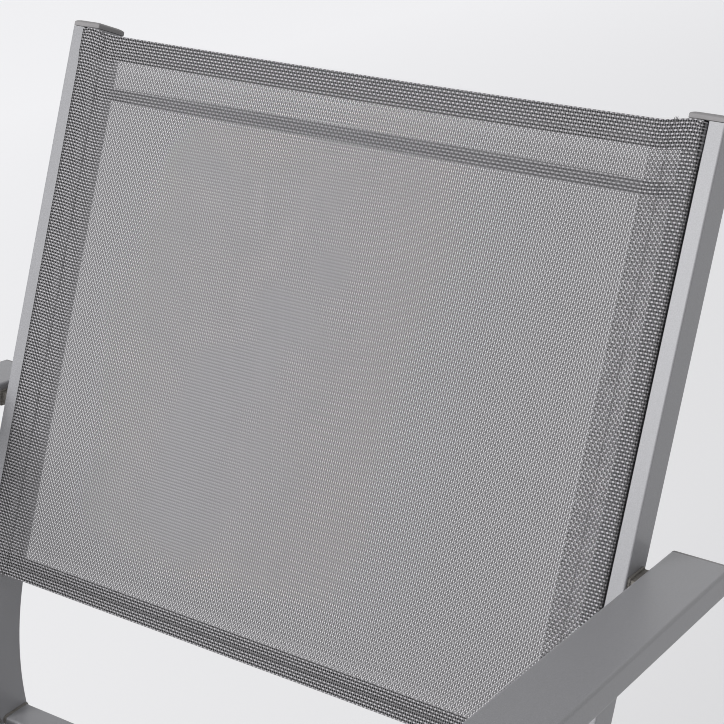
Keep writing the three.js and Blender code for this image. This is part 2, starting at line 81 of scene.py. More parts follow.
eye = EYE_FROM_RIM + [0, RIM_Y, RIM_Z]
ahead = np.array([-np.sin(YAW) * np.cos(PITCH), np.cos(YAW) * np.cos(PITCH), -np.sin(PITCH)])
level = np.array([np.cos(YAW), np.sin(YAW), 0])
upright = np.cross(level, ahead)
across = np.cos(ROLL) * level + np.sin(ROLL) * upright
above = np.cos(ROLL) * upright - np.sin(ROLL) * level

camera = bpy.data.objects.new("camera", bpy.data.cameras.new("camera"))
camera.data.sensor_width = SENSOR_WIDTH
camera.data.lens = FOCAL_PIXELS * SENSOR_WIDTH / PHOTO_PIXELS
stand(camera, across, above, -ahead, eye)
bpy.context.scene.camera = camera
print(f"camera at {eye.round(3)}, lens {camera.data.lens:.1f} mm")

# %% [markdown]
# ## Shader arithmetic
# A weave is a sum of waves, so its material is mostly arithmetic. Written out as nodes it would be
# unreadable. A small class that wraps a socket lets the same formulas stand here as plain expressions.

# %% Wires
class Wire:
    """A value in a material. Arithmetic between wires and numbers adds a Math node for each sign."""

    def __init__(self, finish, socket):
        self.finish, self.socket = finish, socket

    def math(self, operation, *values):
        return self.finish.node("ShaderNodeMath", {"operation": operation}, dict(enumerate(values)))

    def __add__(self, other): return self.math("ADD", self, other)
    def __radd__(self, other): return self.math("ADD", other, self)
    def __sub__(self, other): return self.math("SUBTRACT", self, other)
    def __rsub__(self, other): return self.math("SUBTRACT", other, self)
    def __mul__(self, other): return self.math("MULTIPLY", self, other)
    def __rmul__(self, other): return self.math("MULTIPLY", other, self)
    def __truediv__(self, other): return self.math("DIVIDE", self, other)
    def __gt__(self, other): return self.math("GREATER_THAN", self, other)
    def __lt__(self, other): return self.math("LESS_THAN", self, other)
    def floor(self): return self.math("FLOOR", self)
    def cos(self): return self.math("COSINE", self)
    def root(self): return self.math("SQRT", self)
    def size(self): return self.math("ABSOLUTE", self)
    def at_least(self, other): return self.math("MAXIMUM", self, other)
    def at_most(self, other): return self.math("MINIMUM", self, other)


print("a wire has", len(vars(Wire)), "parts")

# %% Finishes
class Finish:
    """A material in the making, or the room's light, which is built from nodes in the same way."""

    def __init__(self, name, room=None):
        self.material = room or bpy.data.materials.new(name)
        self.material.use_nodes = True
        self.tree = self.material.node_tree
        self.tree.nodes.clear()

    def node(self, kind, settings={}, inputs={}, output=0):
        """Adds one node: its settings first, then the numbers or wires of its inputs."""
        node = self.tree.nodes.new(kind)
        for name, value in settings.items():
            setattr(node, name, value)
        for name, value in inputs.items():
            if isinstance(value, Wire):
                self.tree.links.new(value.socket, node.inputs[name])
            else:
                node.inputs[name].default_value = value
        return Wire(self, node.outputs[output]) if node.outputs else node

    def place(self):
        """Where a point lies on the object, in metres."""
        return self.node("ShaderNodeTexCoord", output=3)

    def number(self, vector, axis):
        """One of a vector's three numbers."""
        return self.node("ShaderNodeSeparateXYZ", {}, {0: vector}, output=axis)

    def noise(self, grain, detail=2):
        """A soft random value from 0 to 1, in lumps about as large as the grain, in metres."""
        return self.node("ShaderNodeTexNoise", {}, {
            "Vector": self.place(), "Scale": 1 / grain, "Detail": detail})

    def between(self, share, a, b):
        """A colour between two."""
        return self.node("ShaderNodeMix", {"data_type": "RGBA"}, {0: share, 6: a, 7: b}, output=2)

    def bump(self, height, depth):
        """A surface normal from a height from 0 to 1 and the depth that it stands for, in metres."""
        return self.node("ShaderNodeBump", {}, {"Height": height, "Distance": depth})

    def surface(self, **sockets):
        """Ends the material in a Principled shader. An underscore stands for a space."""
        inputs = {name.replace("_", " "): value for name, value in sockets.items()}
        shader = self.node("ShaderNodeBsdfPrincipled", {}, inputs)
        self.node("ShaderNodeOutputMaterial", {}, {"Surface": shader})
        return self.material


def grey(level, red=1.0, blue=1.0):
    """An RGBA grey in linear light, with its red and blue as shares of the green."""
    return (level * red, level, level * blue, 1)


print("half grey", grey(0.5))

# %% [markdown]
# ## Floor and light
# The chair stands in a studio with a pale seamless floor. One large soft lamp stands in front and a
# little to the left, a faint one stands low beside it, and the rest is light from the room and the
# floor. A pale floor would have to be lit far more brightly than the chair to look as white as in the
# photograph. So it adds a glow of its own only where the camera, a reflection or a transparent surface
# looks at it, and keeps its shadows. The glow is weakest along a line that runs from front to back.

# %% Room light
ROOM_LEVEL = 0.36
BACKDROP_LEVEL = 0.84
world = bpy.data.worlds.new("room")
bpy.context.scene.world = world


def seen(finish):
    """1 for rays from the camera, or from a mirror or a clear surface, and 0 for the light itself."""
    path = finish.tree.nodes.new("ShaderNodeLightPath")
    rays = [Wire(finish, path.outputs[name]) for name in
            ("Is Camera Ray", "Is Glossy Ray", "Is Transmission Ray")]
    return rays[0].at_least(rays[1]).at_least(rays[2])


room = Finish("room", world)
shade = room.node("ShaderNodeBackground", {}, {
    "Color": grey(1), "Strength": ROOM_LEVEL + (BACKDROP_LEVEL - ROOM_LEVEL) * seen(room)})
room.node("ShaderNodeOutputWorld", {}, {"Surface": shade})
print("room light", ROOM_LEVEL)

# %% Floor
FLOOR_REACH = 40.0
GLOW_NEAR, GLOW_FAR = grey(0.425, 1, 1.03), grey(0.625, 1, 1.03)
# The glow is painted light; where it is weakest, along this line, it paints a darker band of shade on the
# floor.
GLOW_X, GLOW_HALF_LENGTH = 0.3, 6.5    # the line on which the glow is weakest
GLOW_REACH = 3.1                       # from there to where it is full
floor_mesh = bpy.data.meshes.new("floor")
corners = FLOOR_REACH * np.array([[-1, -1, 0], [1, -1, 0], [1, 1, 0], [-1, 1, 0]])
floor_mesh.from_pydata(corners.tolist(), [], [[0, 1, 2, 3]])
floor = bpy.data.objects.new("floor", floor_mesh)
bpy.context.collection.objects.link(floor)

paper = Finish("floor_paper")
x, y = (paper.number(paper.place(), axis) for axis in (0, 1))
away = (GLOW_X - x).size() + (y.size() - GLOW_HALF_LENGTH).at_least(0)
glow = paper.between((away / GLOW_REACH).at_most(1), GLOW_NEAR, GLOW_FAR)
floor_mesh.materials.append(paper.surface(
    Base_Color=grey(0.62), Roughness=0.9, Specular_IOR_Level=0.1,
    Emission_Color=paper.between(seen(paper), grey(0), glow), Emission_Strength=1))
print("floor", floor.dimensions)

# %% Lamps
LAMP_TARGET = (0, 0.1, 0.7)


def soft_lamp(name, toward, distance, size, level):
    """A square lamp that gives a face turned to it the stated level: watts = level * pi^2 * distance^2."""
    lamp = bpy.data.lights.new(name, "AREA")
    lamp.size = size
    lamp.energy = level * np.pi ** 2 * distance ** 2
    turned = np.array(toward) / np.linalg.norm(toward)
    side = np.cross([0, 0, 1], turned)
    side /= np.linalg.norm(side)
    stand(bpy.data.objects.new(name, lamp), side, np.cross(turned, side), turned,
          np.array(LAMP_TARGET) + distance * turned)
    print(f"{name}: {lamp.energy:.0f} W, {distance} m away")


soft_lamp("key_lamp", toward=(-0.35, -0.85, 0.40), distance=3.2, size=1.5, level=0.56)
soft_lamp("low_lamp", toward=(-0.33, -0.93, 0.08), distance=3.0, size=1.3, level=0.06)

# %% [markdown]
# ## Paint, plastic, steel and welds
# The frame is aluminium under grey powder paint. The powder melts into a skin with a faint orange peel
# and a fine sparkle, so the paint has two sizes of bump and a grain in its colour. The caps and glides
# are moulded plastic, duller and a little warmer, and the rods in the hems are a paler plastic. The
# bolts are plain steel with brush marks. The welds are under the same paint and their spatter leaves them
# rough. Their darker, greener colour is painted shade, the shade of the gap between rail and arm, and the
# blocks there wear it too.

# %% Powder paint
PAINT_GRAIN, PAINT_PEEL, PAINT_CLOUD = 0.7 * mm, 1.6 * mm, 60 * mm
PAINT_BUMP = 0.035 * mm


def powder_paint():
    """The colour follows the grain and, less, the cloud; the bump is a little more peel than grain."""
    paint = Finish("powder_paint")
    grain = paint.noise(PAINT_GRAIN, 3)
    tone = paint.between(grain, grey(0.27, 1, 1.05), grey(0.53, 1, 1.05))
    tone = paint.between(0.3 * paint.noise(PAINT_CLOUD), tone, grey(0.40, 1, 1.05))
    return paint.surface(
        Base_Color=tone, Metallic=0.05, Roughness=0.28 + 0.18 * grain,
        Normal=paint.bump(0.55 * paint.noise(PAINT_PEEL) + 0.45 * grain, PAINT_BUMP))


PAINT = powder_paint()
print("paint", PAINT.name)

# %% Plastic, steel and welds
def grainy(name, grain, tones, rough, bump=None, detail=2, cloud=None, **more):
    """A finish whose roughness and bump follow a random grain, and whose colour goes from the first tone
    to the second with that grain or with a larger cloud. rough holds the least roughness and its range."""
    finish = Finish(name)
    lumps = finish.noise(grain, detail)
    share = finish.noise(cloud) if cloud else lumps
    if bump:
        more["Normal"] = finish.bump(lumps, bump)
    return finish.surface(
        Base_Color=finish.between(share, *tones), Roughness=rough[0] + rough[1] * lumps, **more)


PLASTIC = grainy("moulded_plastic", grain=0.7 * mm, cloud=15 * mm, detail=3,
                 tones=(grey(0.31, 1.03, 1.02), grey(0.35, 1.03, 1.02)), rough=(0.48, 0.12), bump=0.03 * mm)
ROD = grainy("rod_plastic", grain=2 * mm, tones=(grey(0.5), grey(0.6)), rough=(0.4, 0.1))
STEEL = grainy("plain_steel", grain=0.5 * mm, detail=4,
               tones=(grey(0.42), grey(0.58)), rough=(0.28, 0.2), bump=0.02 * mm, Metallic=0.9)
# The weld's dark colour is painted shade for the gap between rail and arm; the blocks there wear it too.
WELD_SHADE = grainy("weld_painted_shade", grain=2.5 * mm, detail=3,
              tones=(grey(0.10, 1.10, 0.88), grey(0.30, 1.06, 0.92)), rough=(0.40, 0.2), bump=0.15 * mm)
print("finishes", [finish.name for finish in (PLASTIC, ROD, STEEL, WELD_SHADE)])

# %% [markdown]
# ## Woven cloth
# The slings are woven from coated polyester yarn, one over and one under. Warp yarns run along the
# rails 1.6 mm apart and weft yarns run across 2.2 mm apart, with a small open window in each mesh. Yarn
# by yarn the cloth would need millions of faces. In the material each yarn is a round ridge that waves
# up and down as it crosses the others: the higher of the two ridges is the surface, and where there is
# neither, the cloth is clear. The pattern reads the piece's own map of the flat cloth, in metres, so it
# follows every fold.
#
# One layer is lit from behind through its windows, so its yarns look even. Two layers hide each other's
# windows, and the flanks of their yarns sink into shade, which the material paints into the yarn's colour.
# The mesh tells the material where the cloth is doubled and where it is tucked into the slot, and it paints
# shade there; ambient occlusion paints shade into the colour inside a fold. The floats are painted too:
# the weft on top takes a light colour and the warp on top a dark one, both lighter where the cloth is
# doubled.

# %% Weave
WARP_PITCH = 1.605 * mm
WEFT_PITCH = 2.230 * mm
WARP_SHARE = 0.53         # of the pitch that the yarn covers
WEFT_SHARE = 0.57
WARP_WAVE = 0.30          # rise of a yarn over another, as a share of its own height
WEFT_WAVE = 0.55
YARN_EDGE = 0.2           # height of a yarn's edge, as a share of its top
YARN_BUMP = 0.40 * mm
WANDER = 9 * mm           # length over which yarns stray from their lines
WARP_STRAY, WEFT_STRAY = 0.16, 0.10    # of the pitch
# The next three set painted shade in the yarn's colour: on low flanks, more where doubled, inside folds and
# beside the slot.
FLANK, DOUBLED_FLANK = 0.05, 0.35      # height up to which a yarn is in full shade, and what a fold adds
FOLD_REACH = 1.2 * mm     # how far off another layer still takes light away
IN_SLOT = 0.5             # share of the light that is lost beside the slot
# Painted light and shade on the floats: where the weft is on top the yarn takes the light colour, where the
# warp is on top the dark one, and both are lighter where the cloth is doubled.
WARP_FLOAT_SHADE, WEFT_FLOAT_LIGHT = grey(0.20, 1.02, 1.05), grey(0.48, 1.02, 1.05)
DOUBLED_WARP_SHADE, DOUBLED_WEFT_LIGHT = grey(0.38, 1.02, 1.05), grey(0.74, 1.02, 1.05)
# DEEP_SHADE is the painted shade that the yarn's colour sinks to.
PLAIN_YARN, DEEP_SHADE = grey(0.26, 1.02, 1.05), grey(0.015)


def ridge(yarn, share, along, sign, rise):
    """Height of a yarn: a half ellipse across it, plus the wave that carries it over one yarn and under
    the next. With t from -1 to 1 across the yarn, edge + (1 - edge) sqrt(1 - t^2) + rise cos(pi along)."""
    off = (yarn - yarn.floor() - 0.5).size() * (2 / share)
    inside = off < 1
    top = (1 - off * off).at_least(0).root()
    wave = sign * (np.pi * (along - 0.5)).cos()
    return inside, inside * (YARN_EDGE + (1 - YARN_EDGE) * top + rise * wave)


def woven_cloth():
    cloth = Finish("woven_cloth")
    flat = cloth.node("ShaderNodeUVMap", {"uv_map": "flat_cloth"})
    wander = cloth.noise(WANDER) - 0.5
    warp = cloth.number(flat, 0) / WARP_PITCH + WARP_STRAY * wander
    weft = cloth.number(flat, 1) / WEFT_PITCH + WEFT_STRAY * wander
    warp_sign, weft_sign = ((np.pi * yarn.floor()).cos() for yarn in (warp, weft))
    on_warp, warp_height = ridge(warp, WARP_SHARE, weft, warp_sign, WARP_WAVE)
    on_weft, weft_height = ridge(weft, WEFT_SHARE, warp, -1 * weft_sign, WEFT_WAVE)
    height = warp_height.at_least(weft_height)

    def own_tone(number):
        """A random value from 0 to 1 for each yarn."""
        return cloth.node("ShaderNodeTexWhiteNoise", {"noise_dimensions": "1D"}, {"W": number})

    tone = 0.5 * own_tone(warp.floor()) + 0.5 * own_tone(weft.floor() + 0.5)
    folds = cloth.node("ShaderNodeAttribute", {"attribute_name": "folds"}, output=1)
    doubled, tucked = (cloth.number(folds, axis) for axis in (0, 1))
    on_top = weft_height > warp_height
    # Painted light on the weft floats and painted shade on the warp floats.
    yarn = cloth.between(doubled, cloth.between(on_top, WARP_FLOAT_SHADE, WEFT_FLOAT_LIGHT),
                         cloth.between(on_top, DOUBLED_WARP_SHADE, DOUBLED_WEFT_LIGHT))
    yarn = cloth.between(0.25 * tone, yarn, PLAIN_YARN)
    # Painted shade: the colour sinks towards DEEP_SHADE on low flanks, more where doubled, inside folds by
    # ambient occlusion, and beside the slot.
    lit = (height - FLANK - DOUBLED_FLANK * doubled).at_least(0).at_most(1)
    painted_occlusion = cloth.node("ShaderNodeAmbientOcclusion", {"samples": 6}, {"Distance": FOLD_REACH}, output=1)
    lit = lit * painted_occlusion * (1 - IN_SLOT * tucked)
    return cloth.surface(
        Base_Color=cloth.between(lit, DEEP_SHADE, yarn), Roughness=0.46 + 0.1 * tone,
        Alpha=on_warp.at_least(on_weft), Normal=cloth.bump(height, YARN_BUMP))


CLOTH = woven_cloth()
print("weave", WARP_PITCH, WEFT_PITCH)

# %% Sewing thread
THREAD = grainy("sewing_thread", grain=0.3 * mm,
                tones=(grey(0.14, 1.02, 1.04), grey(0.30, 1.02, 1.04)), rough=(0.7, 0), bump=0.05 * mm)
print("thread", THREAD.name)

# %% [markdown]
# ## Lines and sections
# Every rail, arm and leg is one section carried along a line in the side plane. A line is made of
# straight runs and arcs and is kept as arrays of places and headings: 0 runs down and 90 runs forward.
# A section is a polygon whose corners are rounded. Two extra points stand beside each rounded corner, so
# that smooth shading bends only there and leaves the flat faces flat.

# %% Lines in the side plane
ARC_STEPS = 28
FORWARD = 90
END_MARGIN = 0.5 * mm     # from a piece's end to the section beside it, which keeps the end's edge crisp


def run_way(heading):
    """Direction in which a line runs at a heading in radians."""
    return np.array([0, -np.sin(heading), -np.cos(heading)])


def sitter_way(heading):
    """Direction from a line towards the sitter."""
    return np.array([0, -np.cos(heading), np.sin(heading)])


class SideLine:
    """Places and headings along straight runs and arcs, by length from the start.

    A run goes by (-sin h, -cos h) in y and z. An arc's centre lies its radius to the side of the heading,
    at (cos h, -sin h), and each of its points is centre + radius (-cos h, sin h)."""

    def __init__(self, y, z, heading, runs):
        h = np.radians(heading)
        ys, zs, hs, lengths = [y], [z], [h], [0.0]
        for kind, size, turn in runs:
            if kind == "straight":
                ys.append(ys[-1] - size * np.sin(h))
                zs.append(zs[-1] - size * np.cos(h))
                hs.append(h)
                lengths.append(lengths[-1] + size)
            else:
                turned = h - np.radians(turn) * np.arange(1, ARC_STEPS + 1) / ARC_STEPS
                centre_y, centre_z = ys[-1] + size * np.cos(h), zs[-1] - size * np.sin(h)
                ys.extend(centre_y - size * np.cos(turned))
                zs.extend(centre_z + size * np.sin(turned))
                lengths.extend(lengths[-1] + size * (h - turned))
                hs.extend(turned)
                h = turned[-1]
        self.y, self.z, self.h, self.s = map(np.array, (ys, zs, hs, lengths))
        self.length = self.s[-1]

    def at(self, s, depth=0.0):
        """y, z and heading a length along, moved away from the sitter: y + d cos h, z - d sin h."""
        h = np.interp(s, self.s, self.h)
        y, z = np.interp(s, self.s, self.y), np.interp(s, self.s, self.z)
        beyond = np.maximum(s - self.length, 0) + np.minimum(s, 0)
        return (y + depth * np.cos(h) - beyond * np.sin(h),
                z - depth * np.sin(h) - beyond * np.cos(h), h)

    def crossing(self, height, depth):
        """y where the line at a depth passes a height."""
        y, z, _ = self.at(self.s, depth)
        return np.interp(-height, -z, y)

    def stations(self, low, high):
        """Lengths at which to put a section: both ends, beside them, and the arcs' own steps between."""
        inner = self.s[(self.s > low + END_MARGIN) & (self.s < high - END_MARGIN)]
        return np.concatenate([[low, low + END_MARGIN], inner, [high - END_MARGIN, high]])


def carry(section, line, stations):
    """Points of a section (x across, out to the sitter) at each station: y - out cos h, z + out sin h."""
    y, z, h = (values[:, None] for values in line.at(stations))
    x = np.broadcast_to(section[:, 0], (len(stations), len(section)))
    out = section[None, :, 1]
    return np.stack([x, y - out * np.cos(h), z + out * np.sin(h)], axis=-1)


print("lines ready")

# %% Rounded sections
CORNER_STEPS = 6
BESIDE = 0.35 * mm        # from a rounded corner to the extra point on each side of it


def rounded(corners, radii):
    """Corners of a closed polygon, each as an arc that touches both sides, with a point beside each end.

    The arc's centre lies a radius to the left or right of the incoming side, a tangent length
    r tan(turn / 2) before the corner."""
    corners = np.array(corners, float)
    radii = np.broadcast_to(radii, len(corners)).astype(float)[:, None]
    a = corners - np.roll(corners, 1, axis=0)
    b = np.roll(corners, -1, axis=0) - corners
    a /= np.linalg.norm(a, axis=1, keepdims=True)
    b /= np.linalg.norm(b, axis=1, keepdims=True)
    turn = np.arctan2(a[:, 0] * b[:, 1] - a[:, 1] * b[:, 0], (a * b).sum(axis=1))[:, None]
    start = corners - a * radii * np.tan(np.abs(turn) / 2)
    end = corners + b * radii * np.tan(np.abs(turn) / 2)
    left = np.stack([-a[:, 1], a[:, 0]], axis=1) * np.sign(turn)
    centre = start + left * radii
    angle = np.arctan2(*(start - centre).T[::-1])[:, None] + turn * np.linspace(0, 1, CORNER_STEPS + 1)
    arcs = centre[:, None] + radii[:, None] * np.stack([np.cos(angle), np.sin(angle)], axis=-1)
    return np.concatenate([(start - a * BESIDE)[:, None], arcs, (end + b * BESIDE)[:, None]], axis=1)


def rectangle(left, right, bottom, top, radius):
    """A rounded rectangle as one closed outline."""
    corners = [(left, top), (left, bottom), (right, bottom), (right, top)]
    return rounded(corners, radius).reshape(-1, 2)


print("a rounded rectangle has", len(rectangle(0, 1, 0, 1, 0.1)), "points")

# %% Meshes from grids
MERGE = 0.002 * mm        # points closer than this become one


def turn_outwards(mesh, merge=0.0):
    """Merges points that lie closer than a length, if one is given, and turns every face outwards."""
    work = bmesh.new()
    work.from_mesh(mesh)
    if merge:
        bmesh.ops.remove_doubles(work, verts=work.verts, dist=merge)
    bmesh.ops.recalc_face_normals(work, faces=work.faces)
    work.to_mesh(mesh)
    work.free()


def finish_piece(name, mesh, material, smooth_angle=40):
    """Links a mesh as a piece that rides on the frame and gives it its material."""
    mesh.shade_smooth()
    mesh.set_sharp_from_angle(angle=np.radians(smooth_angle))
    piece = bpy.data.objects.new(name, mesh)
    bpy.context.collection.objects.link(piece)
    mesh.materials.append(material)
    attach(piece, "root")
    return piece


def grid_faces(rows, columns, round_rows=False, round_columns=True):
    """Four corners for each cell of a grid; a round direction joins its last line to its first."""
    index = np.arange(rows * columns).reshape(rows, columns)
    if round_rows:
        index = np.concatenate([index, index[:1]])
    if round_columns:
        index = np.concatenate([index, index[:, :1]], axis=1)
    cells = [index[:-1, :-1], index[:-1, 1:], index[1:, 1:], index[1:, :-1]]
    return np.stack(cells, axis=-1).reshape(-1, 4)


def solid(name, rings, material, closed=False, smooth_angle=40):
    """A closed body from rings of points: a skin between them and a lid on each end, or a closed loop."""
    rows, columns, _ = rings.shape
    faces = grid_faces(rows, columns, round_rows=closed).tolist()
    if not closed:
        faces += [list(range(columns)), list(range((rows - 1) * columns, rows * columns))]
    mesh = bpy.data.meshes.new(name)
    mesh.from_pydata(rings.reshape(-1, 3).tolist(), [], faces)
    turn_outwards(mesh, MERGE)
    piece = finish_piece(name, mesh, material, smooth_angle)
    print(f"{name}: {len(mesh.polygons)} faces")
    return piece


def dress(kind, rings, side_name="", material=PAINT, smooth_angle=40):
    """Puts a solid in the place of the packed model's piece of that kind and side."""
    ending = side_name and f"_{side_name}"
    piece = solid(f"{kind}_shape{ending}", rings, material, smooth_angle=smooth_angle)
    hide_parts(kind + ending)


def slide(ring, along, point, normal):
    """Moves a ring's points along a direction until they lie in a plane: p + d (n (q - p)) / (n d)."""
    ring, along, point, normal = (np.array(v, float) for v in (ring, along, point, normal))
    return ring + along * (((point - ring) @ normal) / (along @ normal))[:, None]


def cut(rings, end, out, point, normal):
    """Cuts an end, 0 or -1, to a plane, by sliding its ring along the way out; the next ring follows."""
    rings[end] = slide(rings[end], out, point, normal)
    rings[-2 if end else 1] = rings[end] - END_MARGIN * out

# %% [markdown]
# ## Back rails
# Each back rail is one extrusion, 24 by 30 mm, with a slot in its front face that opens into a round
# channel for the hem rod. It is bent once, below the seat, and the part under the bend is the rear leg.
# Here the section with its slot is carried down the line, and the foot end is cut level. The slot's two
# lips have a small radius that catches the light as a thin bright line beside the cloth.

# %% Rail section
FIT = 0.3 * mm
RAIL_WIDTH, RAIL_DEPTH, RAIL_CORNER = 24 * mm, 30 * mm, 1 * mm
SLOT_X = 240.9 * mm
RAIL_OUTER = 253 * mm
RAIL_INNER = RAIL_OUTER - RAIL_WIDTH
SLOT_WIDTH, SLOT_LIP, LIP_CORNER = 3.2 * mm, 2 * mm, 0.45 * mm
CHANNEL_RADIUS, CHANNEL_STEPS = 4.2 * mm, 20
CHANNEL_DEPTH = SLOT_LIP + CHANNEL_RADIUS
NECK_CORNER = 0.1 * mm    # where a lip meets the channel


def rail_section(side):
    """The rounded outline from one lip round to the other, then the channel's arc back to the start."""
    slot, mouth = side * SLOT_X, SLOT_WIDTH / 2
    left, right = sorted((side * RAIL_INNER, side * RAIL_OUTER))
    opening = np.arcsin(mouth / CHANNEL_RADIUS)
    neck = CHANNEL_RADIUS * np.cos(opening) - CHANNEL_DEPTH
    corners = [(slot - mouth, neck), (slot - mouth, 0), (left, 0), (left, -RAIL_DEPTH),
               (right, -RAIL_DEPTH), (right, 0), (slot + mouth, 0), (slot + mouth, neck)]
    radii = [NECK_CORNER, LIP_CORNER, *[RAIL_CORNER] * 4, LIP_CORNER, NECK_CORNER]
    skin = rounded(corners, radii)[1:-1].reshape(-1, 2)
    turn = np.pi / 2 - opening - np.linspace(0, 2 * np.pi - 2 * opening, CHANNEL_STEPS)
    channel = np.stack([slot + CHANNEL_RADIUS * np.cos(turn),
                        CHANNEL_RADIUS * np.sin(turn) - CHANNEL_DEPTH], axis=1)
    return np.concatenate([skin, channel])


print("rail section has", len(rail_section(1)), "points")

# %% Back rails
RECLINE, LEG_SPLAY = 19, 11
CAP_RIM = 2.5 * mm
CAP_LIFT = CAP_RIM + FIT
BACK_STRAIGHT, BACK_BEND, REAR_LEG = 400 * mm, 279 * mm, 400 * mm
GLIDE_TOP = 5 * mm
ABOVE_GLIDE = (0, 0, GLIDE_TOP + FIT), (0, 0, 1)    # a point and the normal of the plane that cuts the feet
back_line = SideLine(RIM_Y, RIM_Z, RECLINE, [
    ("straight", BACK_STRAIGHT + CAP_LIFT, 0),
    ("arc", BACK_BEND, RECLINE + LEG_SPLAY),
    ("straight", REAR_LEG, 0),
])
leg_along = run_way(-np.radians(LEG_SPLAY))


def foot_station(line):
    """Length at which the line reaches the glide."""
    return np.interp(-GLIDE_TOP - FIT, -line.z, line.s)


back_foot = foot_station(back_line)
for name, side in SIDES.items():
    rings = carry(rail_section(side), back_line, back_line.stations(CAP_LIFT, back_foot))
    cut(rings, -1, leg_along, *ABOVE_GLIDE)
    dress("back_rail", rings, name)

# %% [markdown]
# ## Seat rails
# The seat rails are cut from the same extrusion. They start against the rear legs, climb a little
# towards the front and bend down under the sitter's knees. The rear end is cut along the leg's face.

# %% Seat rails
SEAT_HEIGHT, SEAT_RISE = 384 * mm, 5.5
SEAT_BEND, SEAT_TURN = 85 * mm, 38
SEAT_STRAIGHT, SEAT_END = 386 * mm, 18 * mm
SEAT_COPE = RAIL_DEPTH / 2
seat_heading = np.radians(FORWARD + SEAT_RISE)
seat_face = back_line.crossing(SEAT_HEIGHT, 0)
seat_line = SideLine(
    seat_face + SEAT_COPE * np.sin(seat_heading), SEAT_HEIGHT + SEAT_COPE * np.cos(seat_heading),
    FORWARD + SEAT_RISE, [
        ("straight", SEAT_COPE + SEAT_STRAIGHT, 0),
        ("arc", SEAT_BEND, SEAT_TURN),
        ("straight", SEAT_END, 0),
    ])
leg_low = np.array([0, back_line.crossing(SEAT_HEIGHT - RAIL_DEPTH, 0), SEAT_HEIGHT - RAIL_DEPTH])
leg_high = np.array([0, seat_face, SEAT_HEIGHT])
leg_normal = np.cross([1, 0, 0], leg_high - leg_low)
leg_normal /= np.linalg.norm(leg_normal)
seat_back_along = -run_way(seat_heading)
leg_face = leg_high - FIT * seat_back_along
for name, side in SIDES.items():
    rings = carry(rail_section(side), seat_line, seat_line.stations(SEAT_COPE, seat_line.length))
    cut(rings, 0, seat_back_along, leg_face, leg_normal)
    dress("seat_rail", rings, name)

# %% [markdown]
# ## Armrests and front legs
# Both are one flat tube, 40 by 18 mm. The armrest falls a little towards the back and is level across.
# The front leg stands under it, with its top cut to the armrest's underside and its foot cut level.

# %% Armrests and front legs
ARM_WIDTH, ARM_THICK, ARM_CORNER = 40 * mm, 18 * mm, 2.2 * mm
ARM_GAP, ARM_SLOPE, ARM_LENGTH = 8.3 * mm, 4.7, 505 * mm
ARM_HEIGHT, ARM_OVERHANG = 635 * mm, 16 * mm
LEG_INSET, LEG_RAKE = 45 * mm, 4
ARM_CENTRE = RAIL_OUTER + ARM_GAP + ARM_WIDTH / 2
arm_line = SideLine(back_line.crossing(ARM_HEIGHT, RAIL_DEPTH) + ARM_OVERHANG, ARM_HEIGHT,
                    FORWARD + ARM_SLOPE, [("straight", ARM_LENGTH, 0)])
leg_y, leg_z, _ = arm_line.at(ARM_LENGTH - LEG_INSET + ARM_THICK / 2, ARM_THICK / 2)
leg_line = SideLine(leg_y, leg_z, LEG_RAKE, [("straight", ARM_HEIGHT, 0)])
front_leg_along = run_way(np.radians(LEG_RAKE))
arm_up = sitter_way(np.radians(FORWARD + ARM_SLOPE))
under_arm = np.array([0, *arm_line.at(ARM_LENGTH / 2, ARM_THICK + FIT)[:2]])


def tube_section(side):
    return rectangle(side * ARM_CENTRE - ARM_WIDTH / 2, side * ARM_CENTRE + ARM_WIDTH / 2,
                     -ARM_THICK, 0, ARM_CORNER)


for name, side in SIDES.items():
    rings = carry(tube_section(side), arm_line, arm_line.stations(0, ARM_LENGTH))
    dress("armrest", rings, name)
    rings = carry(tube_section(side), leg_line, leg_line.stations(ARM_THICK, foot_station(leg_line)))
    cut(rings, 0, -front_leg_along, under_arm, arm_up)
    cut(rings, -1, front_leg_along, *ABOVE_GLIDE)
    dress("front_leg", rings, name)

# %% [markdown]
# ## Caps and glides
# Plastic caps close the tubes. Those on the rails have a rim and a low pillowed top. A cap is the
# tube's own outline in layers: each layer is drawn in a little and lifted, along a quarter of an
# ellipse from the rim to the flat middle. A glide is built the same way under each leg.

# %% Layered plates
def layers(outline, steps):
    """Copies of an outline, each drawn in by an inset and lifted: an (inset, lift) pair for each."""
    centre = (outline.max(axis=0) + outline.min(axis=0)) / 2
    extent = (outline.max(axis=0) - outline.min(axis=0)) / 2
    inset, lift = np.array(steps).T
    drawn = centre + (outline - centre)[None] * (1 - inset[:, None, None] / extent)
    return np.concatenate([drawn, np.broadcast_to(lift[:, None, None], (*drawn.shape[:2], 1))], axis=-1)


CAP_FOOT = 0.3 * mm       # bevel under the rim
RIM_EDGE = 0.2 * mm       # from the rim's top to the layer that keeps its edge crisp


def pillow(rim, rise, reach, steps=9):
    """Inset and lift from the underside up the rim and over the pillowed top, which is a quarter of an
    ellipse: reach (1 - cos t) inwards and rim + rise sin t upwards."""
    turn = np.linspace(0, np.pi / 2, steps)
    top = np.stack([reach * (1 - np.cos(turn)), rim + rise * np.sin(turn)], axis=1)
    return np.concatenate([[[CAP_FOOT, 0], [0, CAP_FOOT], [0, rim - RIM_EDGE]], top])


def on_end(points, line, s, facing):
    """Places points whose third number runs out of a line's end; facing is -1 at the start."""
    y, z, h = line.at(s)
    x, forward_by, lift = (points[..., i, None] for i in range(3))
    out = (lift + FIT) * facing * run_way(h)
    return np.array([0, y, z]) + x * [1, 0, 0] + forward_by * sitter_way(h) + out


